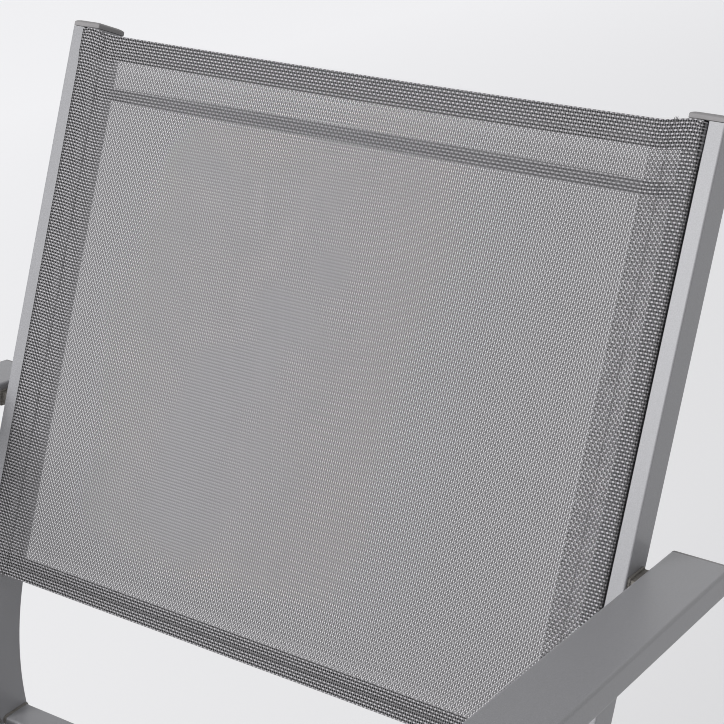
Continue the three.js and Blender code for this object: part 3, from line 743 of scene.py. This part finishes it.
def rail_envelope(side):
    left, right = sorted((side * RAIL_INNER, side * RAIL_OUTER))
    return rectangle(left, right, -RAIL_DEPTH, 0, RAIL_CORNER)


CAP_DOME, CAP_FLAT = 2.2 * mm, 5.5 * mm
END_RIM, END_ROUND = 1.4 * mm, 1.2 * mm
for name, side in SIDES.items():
    rail_cap = layers(rail_envelope(side), pillow(CAP_RIM, CAP_DOME, RAIL_WIDTH / 2 - CAP_FLAT))
    arm_cap = layers(tube_section(side), pillow(END_RIM, END_ROUND, END_ROUND, steps=6))
    ends = [("back_rail_cap", rail_cap, back_line, CAP_LIFT, -1),
            ("seat_rail_cap", rail_cap, seat_line, seat_line.length, 1),
            ("armrest_rear_cap", arm_cap, arm_line, 0.0, -1),
            ("armrest_front_cap", arm_cap, arm_line, ARM_LENGTH, 1)]
    for kind, plate, line, s, facing in ends:
        dress(kind, on_end(plate, line, s, facing), name, PLASTIC)

# %% Glides
GLIDE_MARGIN = 0.8 * mm   # by which a glide is wider than its leg
glide_layers = np.array([[1.0, 0], [0.3, 0.3], [0, 1.0], [0, 4.0], [0.3, 4.7], [1.2, 5.0]]) * mm


def glide(kind, side_name, outline, line, along):
    """A low pad round a leg's foot; its layers lean with the leg."""
    grown = layers(outline, glide_layers - [GLIDE_MARGIN, 0])
    y, _, h = line.at(foot_station(line))
    flat = np.stack([grown[..., 0], y - grown[..., 1] / np.cos(h), grown[..., 2]], axis=-1)
    lean = (GLIDE_TOP + FIT - grown[..., 2]) * along[1] / -along[2]
    flat[..., 1] += lean
    dress(kind, flat, side_name, PLASTIC)


for name, side in SIDES.items():
    glide("rear_glide", name, rail_envelope(side), back_line, leg_along)
    glide("front_glide", name, tube_section(side), leg_line, front_leg_along)

# %% [markdown]
# ## Bars, blocks and bolts
# A round bar behind the top of the sling and a square bar between the rear legs are welded to the
# rails. A bowed bar under the seat is bolted between them after the seat sling is in. Small blocks
# bridge the gap to the outer frame. The bars are circles or squares carried across the chair.

# %% Bars
def bar(kind, outline, path):
    """Carries an outline (y, z) along a path of places across the chair."""
    rings = path[:, None, :] + np.concatenate([np.zeros((len(outline), 1)), outline], axis=1)[None]
    dress(kind, rings)


def circle(radius, steps=32):
    turn = 2 * np.pi * np.arange(steps) / steps
    return radius * np.stack([np.cos(turn), np.sin(turn)], axis=1)


BAR_END = RAIL_INNER - FIT
STRETCHER_RADIUS, STRETCHER_DOWN = 5 * mm, 47 * mm
stretcher_y, stretcher_z, _ = back_line.at(STRETCHER_DOWN, RAIL_DEPTH / 2)
stretcher_round = circle(STRETCHER_RADIUS)
straight = np.linspace(-BAR_END, BAR_END, 3)[:, None] * [1, 0, 0]
bar("back_stretcher", stretcher_round, straight + [0, stretcher_y, stretcher_z])

SQUARE_CORNER = 2.2 * mm
low, high = map(np.array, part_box("rear_crossbar"))
half = (high - low) / 2
rear_bar = (low + high) / 2
square = rectangle(-half[1], half[1], -half[2], half[2], SQUARE_CORNER)
bar("rear_crossbar", square, straight + [0, *rear_bar[1:]])

# The front bar falls by bow (1 - cos) / 2 between its two straight ends.
FRONT_BAR, FRONT_BOW, FRONT_END = 9 * mm, 26 * mm, 18 * mm
BOW_STEPS = 41
low, high = map(np.array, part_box("front_crossbar"))
bowed_x = np.linspace(FRONT_END - BAR_END, BAR_END - FRONT_END, BOW_STEPS)
bow_x = np.concatenate([[-BAR_END], bowed_x, [BAR_END]])
share = np.clip((bow_x / (BAR_END - FRONT_END) + 1) / 2, 0, 1)
fall = FRONT_BOW * (1 - np.cos(2 * np.pi * share)) / 2
bowed = np.stack([bow_x, 0 * bow_x + (low + high)[1] / 2, high[2] - FRONT_BAR - fall], axis=1)
bar("front_crossbar", circle(FRONT_BAR), bowed)

# %% Bolts
HEAD_RADIUS, HEAD_HEIGHT, BOLT_RADIUS, BOLT_LENGTH = 5 * mm, 2.8 * mm, 2.5 * mm, 40 * mm
SOCKET, SOCKET_DEPTH, SOCKET_RIM = 1.7 * mm, 1.6 * mm, 0.3 * mm
BOLT_TIP = 0.01 * mm      # the shank's last ring, nearly a point


def bolt_rings(steps=48):
    """A button head: a quarter ellipse from the edge to a six-sided socket, and a shank under it.

    The socket's radius follows a hexagon: r cos 30 / cos(angle within a sixth - 30)."""
    turn = 2 * np.pi * np.arange(steps) / steps
    hexagon = np.cos(np.pi / 6) / np.cos(turn % (np.pi / 3) - np.pi / 6)
    rise = np.linspace(0, np.pi / 2, 8)
    rim = SOCKET + SOCKET_RIM
    head = [(rim + (HEAD_RADIUS - rim) * np.cos(r), HEAD_HEIGHT * np.sin(r)) for r in rise]
    shank = [(BOLT_TIP, -BOLT_LENGTH), (BOLT_RADIUS, -BOLT_LENGTH), (BOLT_RADIUS, 0)]
    even = np.ones(steps)
    round_part = np.array([[r * even, z * even] for r, z in [*shank, (HEAD_RADIUS, 0), *head]])
    bottom = HEAD_HEIGHT - SOCKET_DEPTH
    socket = np.array([[SOCKET * hexagon, z * even] for z in (HEAD_HEIGHT, bottom)])
    radius, height = np.concatenate([round_part, socket]).transpose(1, 0, 2)
    return np.stack([height, radius * np.cos(turn), radius * np.sin(turn)], axis=-1)


for name, side in SIDES.items():
    low, high = map(np.array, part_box(f"crossbar_bolt_{name}"))
    middle = (low + high) / 2
    rings = bolt_rings() * [side, 1, 1] + [side * (RAIL_OUTER + FIT), middle[1], middle[2]]
    dress("crossbar_bolt", rings, name, STEEL, smooth_angle=30)

# %% Pieces kept from the packed model
# The blocks take the weld's finish: their dark colour is painted shade in the gap between rail and arm.
KEPT_FINISHES = {"block": WELD_SHADE, "rod": ROD, "insert": STEEL}
for node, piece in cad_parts.items():
    for word, finish in KEPT_FINISHES.items():
        if word in node:
            piece.data.materials.clear()
            piece.data.materials.append(finish)
            print("kept", node)

# %% [markdown]
# ## Welds
# Bars, blocks and legs are welded all round where they meet a rail. A weld is a round ridge, half sunk
# in the corner, with a ripple for each drop of metal. So each one is a circle carried round the outline
# of the part that ends there, and its radius waves with the length run so far.

# %% Weld beads
BEAD_RADIUS, BLOCK_BEAD, SEAT_BEAD = 1.3 * mm, 1.5 * mm, 1.1 * mm
BEAD_RIPPLE, RIPPLE_SHARE = 1.8 * mm, 0.12
BEAD_STEP = 0.6 * mm
SAME_END = 0.1 * mm       # corners this close to the last one are on one end


def weld(name, outline, normal, radius=BEAD_RADIUS):
    """A closed ridge round an outline in a plane: place + r(s) (normal cos a + outward sin a),
    where r(s) = r (1 + share sin(2 pi s / ripple))."""
    path = np.concatenate([outline, outline[:1]])
    run = np.concatenate([[0], np.cumsum(np.linalg.norm(np.diff(path, axis=0), axis=1))])
    s = np.linspace(0, run[-1], int(run[-1] / BEAD_STEP), endpoint=False)
    place = np.stack([np.interp(s, run, path[:, i]) for i in range(3)], axis=1)
    along = np.roll(place, -1, axis=0) - np.roll(place, 1, axis=0)
    normal = np.array(normal, float)
    outward = np.cross(along / np.linalg.norm(along, axis=1, keepdims=True), normal)
    bead = radius * (1 + RIPPLE_SHARE * np.sin(2 * np.pi * s / BEAD_RIPPLE))[:, None, None]
    turn = np.linspace(0, 2 * np.pi, 8, endpoint=False)[None, :, None]
    rings = place[:, None] + bead * (normal * np.cos(turn) + outward[:, None] * np.sin(turn))
    solid(name, rings, WELD_SHADE, closed=True)


def end_outline(node, outermost):
    """The corners of a block's outer or inner end, in order round its middle."""
    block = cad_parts[node].data
    corners = np.empty(3 * len(block.vertices))
    block.vertices.foreach_get("co", corners)
    corners = np.unique(corners.reshape(-1, 3).round(6), axis=0)
    reach = np.abs(corners[:, 0])
    end = corners[np.abs(reach - (reach.max() if outermost else reach.min())) < SAME_END]
    across = end - end.mean(axis=0)
    return end[np.argsort(np.arctan2(across[:, 2], across[:, 1]))]


def across_chair(outline, x, centre):
    """Stands a (y, z) outline at a place across the chair."""
    return np.concatenate([np.full((len(outline), 1), x), outline + centre], axis=1)


ACROSS = (1, 0, 0)
for name, side in SIDES.items():
    for node in (f"arm_block_{name}", f"leg_block_{name}"):
        for place, outermost in (("inner", False), ("outer", True)):
            weld(f"{node}_{place}_weld", end_outline(node, outermost), ACROSS, BLOCK_BEAD)
    stretcher_end = across_chair(stretcher_round, side * BAR_END, [stretcher_y, stretcher_z])
    weld(f"stretcher_weld_{name}", stretcher_end, ACROSS)
    weld(f"crossbar_weld_{name}", across_chair(square, side * BAR_END, rear_bar[1:]), ACROSS)
    leg_top = carry(tube_section(side), leg_line, np.array([ARM_THICK]))[0]
    weld(f"leg_weld_{name}", slide(leg_top, front_leg_along, under_arm, arm_up), arm_up)
    rail_end = carry(rail_envelope(side), seat_line, np.array([SEAT_COPE]))[0]
    weld(f"seat_weld_{name}", slide(rail_end, seat_back_along, leg_face, leg_normal), leg_normal, SEAT_BEAD)

# %% [markdown]
# ## Slings
# A sling is one piece of cloth. Its ends are folded back and sewn, then its long sides are folded round
# a rod, sewn, and slid into the rails' channels, so the cloth is double along every edge and four layers
# thick at the corners. Here it stays one sheet: a row of points across the sheet is bent over the edge
# of the slot and round the rod, and a column along it is bent back at both ends. Each point of a row
# knows the direction that points inside the fold. Folding the ends moves it that way.

# %% A row across a sling
CLOTH_THICKNESS = 0.15 * mm
LAYER = 0.7 * mm              # from one layer of cloth to the next
LIFT = 1.35 * mm              # of the front layer off the rail's face
ROD_RADIUS = 2.6 * mm
SIDE_HEM, END_HEM = 32 * mm, 17 * mm
NECK = 0.6 * mm               # the front layer in the slot, off the slot's centre
NECK_ROOM = 0.85 * mm         # from there to the slot's lip
NECK_STEP, NECK_DIP = 0.5 * mm, 0.35 * mm    # where the back layer leaves the slot
EDGE_TURN = 0.7 * mm          # radius of the front layer's turn into the slot
OPEN_END, HEM_START, HEM_FINISH = 200 * mm, 203 * mm, 240 * mm    # coarse and fine points of a row
STACK_START, STACK_FULL = 214 * mm, 231 * mm    # where a corner's four layers begin to stand out


def smoothstep(value, low, high):
    """0 up to low and 1 from high, and 3 t^2 - 2 t^3 between them."""
    share = np.clip((value - low) / (high - low), 0, 1)
    return share * share * (3 - 2 * share)


def arc(cx, cd, radius, start, end, steps):
    """Places and outward directions on an arc; angles in degrees, from +x towards greater depth."""
    turn = np.radians(np.linspace(start, end, steps))
    out = np.stack([np.cos(turn), np.sin(turn)], axis=1)
    return np.array([cx, cd]) + radius * out, out


def stacked(x):
    """Share of a corner's extra layers that stands out at a place across the sheet."""
    return smoothstep(np.abs(x), STACK_START, STACK_FULL)


def half_row():
    """Right half of a row, from the middle of the front layer to the raw edge of the side hem.

    Gives (x, depth), the inward direction of the fold, and how a corner's extra layers push it out."""
    loop = ROD_RADIUS + LAYER / 2
    neck_front = SLOT_X + NECK
    neck_back = neck_front - LAYER
    front_x = np.concatenate([np.linspace(0, OPEN_END, 26), np.linspace(HEM_START, HEM_FINISH, 27)])
    front = np.stack([front_x, 0 * front_x - LIFT], axis=1)
    front_in = np.tile([0.0, 1.0], (len(front), 1))
    front_push = np.stack([0 * front_x, -2 * LAYER * stacked(front_x)], axis=1)
    over, over_out = arc(neck_front - EDGE_TURN, EDGE_TURN - LIFT, EDGE_TURN, -90, 0, 7)
    over_push = np.linspace([0, -2 * LAYER], [NECK_ROOM, 0], len(over))
    start = np.degrees(np.arcsin(NECK / loop)) - 90
    end = 270 + np.degrees(np.arcsin((neck_back - SLOT_X) / loop))
    round_rod, rod_out = arc(SLOT_X, CHANNEL_DEPTH, loop, start, end, 22)
    rod_push = LAYER * rod_out
    back_x = np.concatenate([[neck_back], np.linspace(neck_back - NECK_STEP, SLOT_X - SIDE_HEM, 16)])
    back = np.stack([back_x, 0 * back_x + LAYER - LIFT], axis=1)
    back[0, 1] += NECK_DIP
    back_in = np.tile([0.0, -1.0], (len(back), 1))
    back_push = np.stack([0 * back_x, 2 * LAYER * (1 - stacked(back_x))], axis=1)
    row = np.concatenate([front, over, round_rod, back])
    inward = np.concatenate([front_in, -over_out, -rod_out, back_in])
    push = np.concatenate([front_push, over_push, rod_push, back_push])
    return row, inward, push


def full_row():
    """Both halves, from raw edge to raw edge, with the flat distance of each point from the middle."""
    row, inward, push = half_row()
    steps = np.linalg.norm(np.diff(row, axis=0), axis=1)
    flat = np.concatenate([[0], np.cumsum(steps)])
    mirror = np.array([-1, 1])
    parts = [np.concatenate([(values * mirror)[:0:-1], values]) for values in (row, inward, push)]
    return (*parts, np.concatenate([-flat[:0:-1], flat]))


print("a row of the sling has", len(full_row()[0]), "points")

# %% A column along a sling
SLING_ROWS = 40
END_ROWS, END_FIRST = 9, 0.6 * mm    # rows in an end hem, and the first one's distance from the edge


def column(line, low, high):
    """Lengths along the rail, the fold's depth and the flat distance for each row of the sheet.

    The end hem runs back a layer behind the sheet, turns half a circle of half a layer's radius round
    the edge, and goes on as the sheet itself; the other end does the same in reverse."""
    half_turn = np.linspace(0, np.pi, 8)
    hem = np.linspace(END_HEM, END_FIRST, END_ROWS)
    radius = LAYER / 2
    main = np.unique(np.concatenate([
        low + hem, high - hem, np.linspace(low + END_HEM, high - END_HEM, SLING_ROWS),
        line.s[(line.s > low + END_HEM) & (line.s < high - END_HEM)]]))
    s = np.concatenate([low + hem, low - radius * np.sin(half_turn), main,
                        high + radius * np.sin(half_turn), high - hem[::-1]])
    depth = np.concatenate([0 * hem + LAYER, radius * (1 + np.cos(half_turn)), 0 * main,
                            radius * (1 - np.cos(half_turn)), 0 * hem + LAYER])
    steps = np.hypot(np.diff(s), np.diff(depth))
    flat = np.concatenate([[0], np.cumsum(steps)])
    return s, depth, flat + low


print("the side hem's raw edge is", SLOT_X - SIDE_HEM, "m from the middle")

# %% How a sling hangs
HEM_FADE = 5 * mm
DIP_START, DIP_END = 211 * mm, 237 * mm         # the first edge rises to the slot between these
DROP, DROP_REACH = 1.1 * mm, 7 * mm             # of the first edge in the slot, and how far down it shows
DROP_START, DROP_END = 235.5 * mm, 239.5 * mm
WAVE, WAVE_ALONG, WAVE_ACROSS = 0.15 * mm, 17 * mm, 40 * mm


class Hang:
    """A sheet between two rails, from one length along them to another.

    dip lowers the first edge along the rails: by its first value everywhere but near the slots, and by
    its second in a bow from slot to slot. sag bows the sheet backwards. In the slot the edge starts a
    little lower than beside it."""

    def __init__(self, line, low, high, dip, sag):
        self.line, self.low, self.high, self.dip, self.sag = line, low, high, dip, sag

    def hem(self, s):
        """1 where an end is folded back, and 0 between the hems."""
        return np.maximum(1 - smoothstep(s - self.low, END_HEM, END_HEM + HEM_FADE),
                          smoothstep(s - self.high, -END_HEM - HEM_FADE, -END_HEM))

    def places(self, x, s, depth):
        """x stays; s gains the dip, which fades along the sheet, and the drop in the slot; depth gains
        the bow, sag (1 - (x / slot)^2), and faint waves."""
        reach = np.clip(np.abs(x) / SLOT_X, 0, 1)
        down = s - self.low
        near_slot = smoothstep(np.abs(x), DIP_START, DIP_END)
        edge = self.dip[0] * (1 - near_slot) + self.dip[1] * (1 - reach ** 2)
        drop = DROP * smoothstep(np.abs(x), DROP_START, DROP_END) * (1 - smoothstep(down, 0, DROP_REACH))
        length = s + drop + edge * (1 - np.clip(down / (self.high - self.low), 0, 1))
        waves = WAVE * np.sin(length / WAVE_ALONG + 2 * np.sin(x / WAVE_ACROSS)) * (1 - reach ** 8)
        y, z, _ = self.line.at(length, depth + self.sag * (1 - reach ** 2) + waves)
        return np.stack([x, y, z], axis=-1)

    def front(self, x, s, lift):
        """Places in front of the front face, where the corners of the hems stand out."""
        corner = stacked(x) * self.hem(s)
        return self.places(x, s, -LIFT - 2 * LAYER * corner - CLOTH_THICKNESS / 2 - lift)


back_hang = Hang(back_line, low=3.2 * mm, high=413.6 * mm, dip=(2.8 * mm, 1.2 * mm), sag=1.0 * mm)
seat_hang = Hang(seat_line, low=SEAT_COPE + 3 * mm, high=seat_line.length - 4 * mm,
                 dip=(1.5 * mm, 1.0 * mm), sag=3.5 * mm)
print("the back sling's top edge dips", back_hang.dip)

# %% Slings
# Both set where the cloth's colour is painted into shade: SEAM_SOFT at the doubled hem, TUCK_START to
# TUCK_END beside the slot.
SEAM_SOFT = 1 * mm            # over which the doubled cloth's shade begins
TUCK_START, TUCK_END = SLOT_X - 1.6 * mm, SLOT_X - 0.7 * mm


def sling(name, hang, node):
    """The folded sheet: each row bent round slot and rod, each column bent back at both ends.

    A point is row + push * hem + inward * fold, set on the rails. Its "folds" are 1 where the cloth is
    doubled and 1 where it is tucked into the slot."""
    row, inward, push, flat_x = full_row()
    s, fold, flat_s = column(hang.line, hang.low, hang.high)
    hem = hang.hem(s)[:, None, None]
    place = row[None] + push[None] * hem + inward[None] * fold[:, None, None]
    points = hang.places(place[..., 0], s[:, None], place[..., 1])
    faces = grid_faces(*place.shape[:2], round_columns=False)
    mesh = bpy.data.meshes.new(name)
    mesh.from_pydata(points.reshape(-1, 3).tolist(), [], faces.tolist())
    flat = np.stack(np.broadcast_arrays(flat_x[None], flat_s[:, None]), axis=-1).reshape(-1, 2)
    off_middle = np.abs(place[..., 0])
    # doubled and tucked tell the cloth's material where to paint shade into its colour.
    doubled = smoothstep(off_middle, SLOT_X - SIDE_HEM - SEAM_SOFT, SLOT_X - SIDE_HEM + SEAM_SOFT)
    tucked = smoothstep(off_middle, TUCK_START, TUCK_END)
    folds = np.stack([np.maximum(doubled, hem[..., 0]), tucked, 0 * tucked], axis=-1).astype(np.float32)
    mesh.attributes.new("folds", "FLOAT_VECTOR", "POINT").data.foreach_set("vector", folds.ravel())
    loops = np.empty(len(mesh.loops), int)
    mesh.loops.foreach_get("vertex_index", loops)
    mesh.uv_layers.new(name="flat_cloth").uv.foreach_set("vector", flat[loops].ravel())
    piece = finish_piece(name, mesh, CLOTH, 180)
    wall = piece.modifiers.new("cloth_thickness", "SOLIDIFY")
    wall.thickness, wall.offset = CLOTH_THICKNESS, 0
    size = (float(np.ptp(flat_x)), float(np.ptp(flat_s)))
    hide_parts(node)
    print(f"{name}: cut {size[0]:.3f} by {size[1]:.3f} m, {len(mesh.polygons)} faces")
    return piece, size


back_cloth, back_size = sling("back_sling_cloth", back_hang, "back_sling")
seat_cloth, seat_size = sling("seat_sling_cloth", seat_hang, "seat_sling")

# %% [markdown]
# ## Stitches
# A lockstitch shows as a row of short threads that rise from one hole and dive into the next. Each is a
# small capsule along the cloth's front face, high in the middle and sunk at both ends. All of a sling's
# stitches are one mesh, and few faces are enough for a shape this small.

# %% Stitches
STITCH_LENGTH, STITCH_PITCH, THREAD_RADIUS = 2.7 * mm, 3.2 * mm, 0.24 * mm
STITCH_RISE, STITCH_SINK = 0.35 * mm, 0.15 * mm
SIDE_SEAM, SEAM_MARGIN = 220.5 * mm, 4 * mm
FIRST_SEAM, LAST_SEAM = 12.5 * mm, 9 * mm       # from the sling's first and last edge
LOOSE_ENDS = np.array([[1.2], [2.2], [3.1]]) * mm    # outside the side seam
LOOSE_BEND, LOOSE_REACH, LOOSE_SINK, LOOSE_LIFT = 0.3 * mm, 1.9 * mm, 0.2 * mm, 0.2 * mm
RING_STEPS = 6
along_stitch = np.array([-1, -0.7, 0, 0.7, 1])


def capsules(centres, out):
    """Threads from the five centres of each: circles of r sqrt(1 - 0.8 t^4) across the way they run."""
    run = np.gradient(centres, axis=1)
    run /= np.linalg.norm(run, axis=-1, keepdims=True)
    across = np.cross(run, out)
    across /= np.linalg.norm(across, axis=-1, keepdims=True)
    up = np.cross(across, run)[..., None, :]
    radius = (THREAD_RADIUS * np.sqrt(1 - 0.8 * along_stitch ** 4))[None, :, None, None]
    turn = np.linspace(0, 2 * np.pi, RING_STEPS, endpoint=False)[:, None]
    rings = centres[..., None, :] + radius * (up * np.cos(turn) + across[..., None, :] * np.sin(turn))
    rings_each = len(along_stitch)
    lids = np.array([[0, 1, 2, 3], [0, 3, 4, 5]])
    last_lids = lids[:, ::-1] + RING_STEPS * (rings_each - 1)
    one = np.concatenate([grid_faces(rings_each, RING_STEPS), lids, last_lids])
    faces = one[None] + RING_STEPS * rings_each * np.arange(len(centres))[:, None, None]
    return rings.reshape(-1, 3), faces.reshape(-1, 4)


def stitched(name, hang):
    """Both side seams and both end seams, and three loose yarn ends at each corner, inside the hem."""
    lift = STITCH_RISE * (1 - along_stitch ** 2) - STITCH_SINK
    step = along_stitch * STITCH_LENGTH / 2
    down = np.arange(hang.low + SEAM_MARGIN, hang.high - SEAM_MARGIN, STITCH_PITCH)[:, None] + step
    over = np.arange(SEAM_MARGIN - SIDE_SEAM, SIDE_SEAM - SEAM_MARGIN, STITCH_PITCH)[:, None] + step
    rows = [hang.front(side * SIDE_SEAM + 0 * down, down, lift) for side in SIDES.values()]
    rows += [hang.front(over, at + 0 * over, lift) for at in (hang.low + FIRST_SEAM, hang.high - LAST_SEAM)]
    loose = SIDE_SEAM + LOOSE_ENDS + LOOSE_BEND * along_stitch ** 2
    for end, way in ((hang.low, -1), (hang.high, 1)):
        out = end + way * (LOOSE_REACH * along_stitch - LOOSE_SINK) + 0 * loose
        rows += [hang.front(side * loose, out, LOOSE_LIFT) for side in SIDES.values()]
    centres = np.concatenate(rows)
    _, _, h = hang.line.at((hang.low + hang.high) / 2)
    points, faces = capsules(centres, sitter_way(h))
    mesh = bpy.data.meshes.new(name)
    mesh.from_pydata(points.tolist(), [], faces.tolist())
    turn_outwards(mesh)
    print(f"{name}: {len(centres)} stitches, {len(mesh.polygons)} faces")
    return finish_piece(name, mesh, THREAD, 180)


stitched("back_sling_stitches", back_hang)
stitched("seat_sling_stitches", seat_hang)
